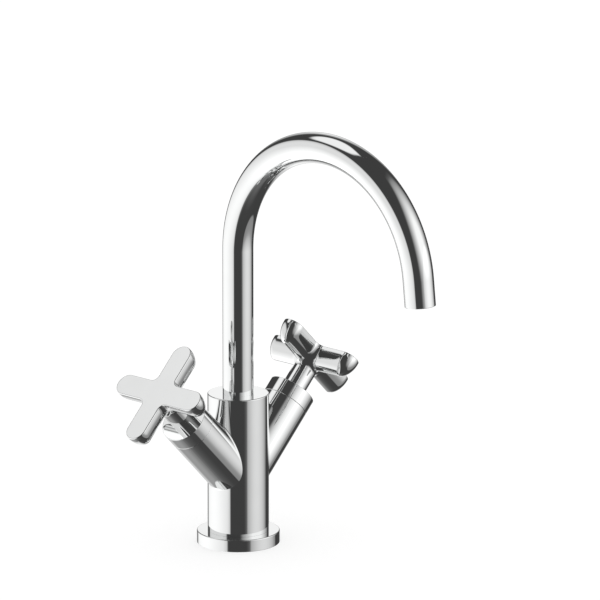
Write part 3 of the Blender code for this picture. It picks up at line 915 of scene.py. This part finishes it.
FLOOR_REACH = 12.0  # half the floor's width, in metres

# The camera's lengths are in metres. Its turn is from straight in front towards the left handle.
CAMERA_TURN = math.radians(-46.22)
CAMERA_RISE = math.radians(14.94)
CAMERA_DISTANCE = 6.65
VIEW_WIDTH = 0.362  # what the picture spans at the object
SENSOR_WIDTH = 36.0
AIM_RIGHT = 0.0372  # the picture's middle, from the object's origin
AIM_UP = 0.1453
CAMERA_SIDE = Vector((math.cos(CAMERA_TURN), math.sin(CAMERA_TURN), 0))
CAMERA_WAY = Vector((math.sin(CAMERA_TURN), -math.cos(CAMERA_TURN), 0))


def make_camera():
    towards = CAMERA_WAY * math.cos(CAMERA_RISE) + Vector((0, 0, math.sin(CAMERA_RISE)))
    up = Vector((0, 0, math.cos(CAMERA_RISE))) - CAMERA_WAY * math.sin(CAMERA_RISE)
    aim = CAMERA_SIDE * AIM_RIGHT + up * AIM_UP
    data = bpy.data.cameras.new("camera")
    data.sensor_width = SENSOR_WIDTH
    data.lens = SENSOR_WIDTH * CAMERA_DISTANCE / VIEW_WIDTH
    data.clip_end = 100
    camera = bpy.data.objects.new("camera", data)
    turn = Matrix((CAMERA_SIDE, up, towards)).transposed().to_4x4()
    camera.matrix_world = Matrix.Translation(aim + towards * CAMERA_DISTANCE) @ turn
    bpy.context.scene.collection.objects.link(camera)
    bpy.context.scene.camera = camera


def make_studio():
    world = bpy.data.worlds.new("studio")
    bpy.context.scene.world = world
    world.use_nodes = True
    world.cycles.sampling_method = "NONE"
    nodes = world.node_tree.nodes
    links = world.node_tree.links

    def calculate(operation, *values):
        node = nodes.new("ShaderNodeMath")
        node.operation = operation
        for socket, value in zip(node.inputs, values):
            if isinstance(value, (int, float)):
                socket.default_value = value
            else:
                links.new(value, socket)
        return node.outputs[0]

    def along(direction, way):
        node = nodes.new("ShaderNodeVectorMath")
        node.operation = "DOT_PRODUCT"
        node.inputs[1].default_value = way
        links.new(direction, node.inputs[0])
        return node.outputs["Value"]

    def ranged(value, from_min, from_max, to_min, to_max, kind="LINEAR"):
        node = nodes.new("ShaderNodeMapRange")
        node.interpolation_type = kind
        node.inputs["From Min"].default_value = from_min
        node.inputs["From Max"].default_value = from_max
        node.inputs["To Min"].default_value = to_min
        node.inputs["To Max"].default_value = to_max
        links.new(value, node.inputs["Value"])
        return node.outputs["Result"]

    direction = nodes.new("ShaderNodeTexCoord").outputs["Generated"]
    turn = calculate("ARCTAN2", along(direction, CAMERA_SIDE), along(direction, CAMERA_WAY))
    rise = calculate("ARCSINE", along(direction, (0, 0, 1)))
    total = SURROUND
    for middle, level, wide, tall, bright, core, rim, soft in STUDIO_LIGHTS.values():
        off_turn = calculate("WRAP", calculate("SUBTRACT", turn, math.radians(middle)), math.pi, -math.pi)
        across = calculate("DIVIDE", off_turn, math.radians(wide))
        upward = calculate("DIVIDE", calculate("SUBTRACT", rise, math.radians(level)), math.radians(tall))
        squares = calculate("ADD", calculate("POWER", across, 2), calculate("POWER", upward, 2))
        reach = calculate("SQRT", squares)
        glow = ranged(reach, core, 1, bright, bright * rim)
        edge = ranged(reach, 1 + soft, 1 - soft, 0, 1, "SMOOTHSTEP")
        total = calculate("ADD", calculate("MULTIPLY", glow, edge), total)

    rays = nodes.new("ShaderNodeLightPath")
    shown = nodes.new("ShaderNodeMix")
    shown.inputs["A"].default_value = ROOM_LEVEL
    links.new(rays.outputs["Is Glossy Ray"], shown.inputs["Factor"])
    links.new(total, shown.inputs["B"])
    links.new(shown.outputs["Result"], nodes["Background"].inputs["Color"])


def make_floor():
    mesh = bpy.data.meshes.new("floor")
    reach = FLOOR_REACH
    corners = [(-reach, -reach, 0), (reach, -reach, 0), (reach, reach, 0), (-reach, reach, 0)]
    mesh.from_pydata(corners, [], [(0, 1, 2, 3)])
    floor = bpy.data.objects.new("floor", mesh)
    bpy.context.scene.collection.objects.link(floor)
    material, nodes, links, shader = node_setup("white_floor")
    shader.inputs["Roughness"].default_value = 1.0
    shader.inputs["Specular IOR Level"].default_value = 0.0
    shade = spread(nodes, links, noise(nodes, links, FLOOR_GRAIN, 2), 0, 1)
    links.new(tint(nodes, links, shade, FLOOR_DARK, FLOOR_LIGHT), shader.inputs["Base Color"])
    shader.inputs["Emission Color"].default_value = (1, 1, 1, 1)
    shader.inputs["Emission Strength"].default_value = FLOOR_GLOW
    mesh.materials.append(material)
    floor.visible_glossy = False


# ---------------------------------------------------------------- the scene
bpy.context.scene.view_settings.view_transform = "Standard"
make_camera()
make_studio()
make_floor()

pieces = [
    (make_body(), "fixed_body", "mixer_body", "chrome"),
    (make_flange(), "fixed_body", "base_flange", "chrome"),
    (make_spout(), "swivel_spout", "spout_tube", "chrome"),
    (make_aerator_housing(), "swivel_spout", "aerator_housing", "chrome"),
    (make_aerator_insert(), "swivel_spout", "aerator_insert", "plastic"),
]
for side in SIDES:
    pieces.append((make_bonnet_ring(side), "fixed_body", f"{side}_bonnet_ring", "chrome"))
    pieces.append((make_handle(side), f"{side}_control", f"{side}_handle", "chrome"))
for piece, body, node, slot in pieces:
    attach(piece, body)
    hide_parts(node)
    finish(piece, slot)

replaced = {node for _, _, node, _ in pieces}
for subpart in frame["record"]["subparts"]:
    if subpart["node"] not in replaced:
        for slot in frame["nodes"][subpart["node"]].material_slots:
            slot.material = MATERIALS[subpart["material_slot"]]
